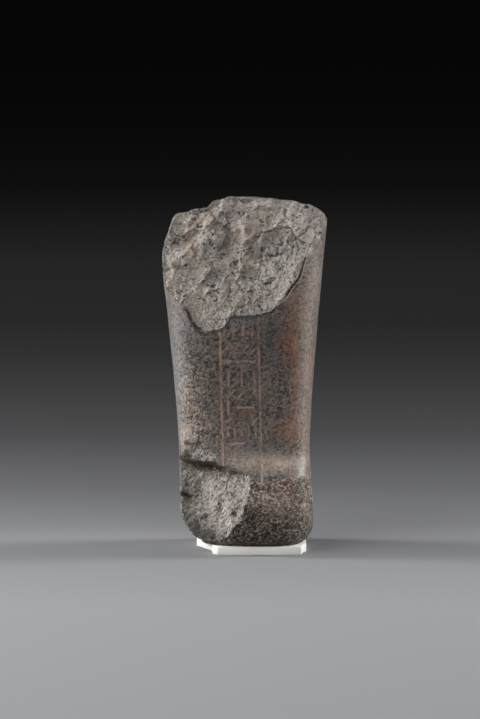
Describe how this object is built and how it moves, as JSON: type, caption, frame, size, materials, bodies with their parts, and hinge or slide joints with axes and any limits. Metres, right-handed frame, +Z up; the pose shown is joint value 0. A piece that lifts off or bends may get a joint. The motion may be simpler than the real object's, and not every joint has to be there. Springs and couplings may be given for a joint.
{
  "type": "inscribed stone statuette fragment",
  "caption": "Lower part of a wrapped stone statuette, shins and feet, broken off at a slant, with an incised column of strokes, standing on a thin fitted pad.",
  "frame": {"origin": "on the floor under the middle of the whole work's box", "axes": "+Z up along the shins, -Y towards the front with the incised column, +X to the right of a viewer who faces the front"},
  "size_m": [0.0588, 0.0454, 0.124],
  "materials": {
    "dark_stone": "worn polish, raw on the break",
    "white_board": "matt, cut by hand"
  },
  "bodies": {
    "root": {"stone_fragment": "dark_stone", "fitted_pad": "white_board"}
  },
  "joints": []
}
